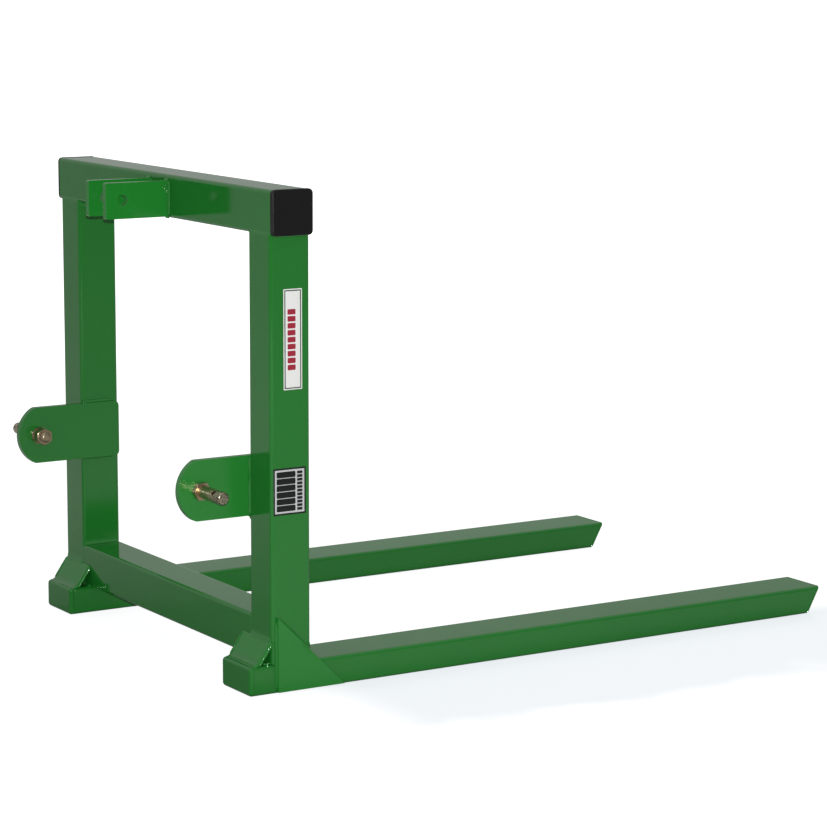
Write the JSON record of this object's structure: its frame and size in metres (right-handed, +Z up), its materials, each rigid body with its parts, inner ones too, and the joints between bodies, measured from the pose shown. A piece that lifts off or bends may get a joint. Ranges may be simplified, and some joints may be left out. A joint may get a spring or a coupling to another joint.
{
  "type": "pallet fork attachment",
  "caption": "Tractor three-point-hitch pallet fork: square-tube frame with lower hitch pins and top-link ears, standing on long flat tube forks with slanted tips.",
  "frame": {"origin": "centre of the bottom of the bounding box: on the floor, midway between the uprights' outer sides and midway between the lug noses and the fork tips", "axes": "+X to the right seen from the tractor looking along the forks, +Y along the forks towards their tips, +Z up"},
  "size_m": [0.835, 1.3277, 0.858],
  "materials": {
    "green_paint": "glossy green powder coat on steel",
    "black_plastic": "black moulded plastic plug",
    "yellow_zinc": "yellow zinc plated steel",
    "white_vinyl": null,
    "grey_vinyl": null
  },
  "bodies": {
    "root": {"left_upright": "green_paint", "right_upright": "green_paint", "top_cross_tube": "green_paint", "bottom_cross_tube": "green_paint", "left_fork_tube": "green_paint", "left_fork_heel_plate": "green_paint", "left_fork_tip_plate": "green_paint", "left_front_brace": "green_paint", "left_side_gusset": "green_paint", "left_lower_lug": "green_paint", "left_top_link_ear": "green_paint", "right_fork_tube": "green_paint", "right_fork_heel_plate": "green_paint", "right_fork_tip_plate": "green_paint", "right_front_brace": "green_paint", "right_side_gusset": "green_paint", "right_lower_lug": "green_paint", "right_top_link_ear": "green_paint", "left_tube_cap": "black_plastic", "right_tube_cap": "black_plastic", "left_lower_pin": "yellow_zinc", "left_pin_nut": "yellow_zinc", "left_lock_washer": "yellow_zinc", "right_lower_pin": "yellow_zinc", "right_pin_nut": "yellow_zinc", "right_lock_washer": "yellow_zinc", "upper_label": "white_vinyl", "lower_label": "grey_vinyl"}
  },
  "joints": []
}
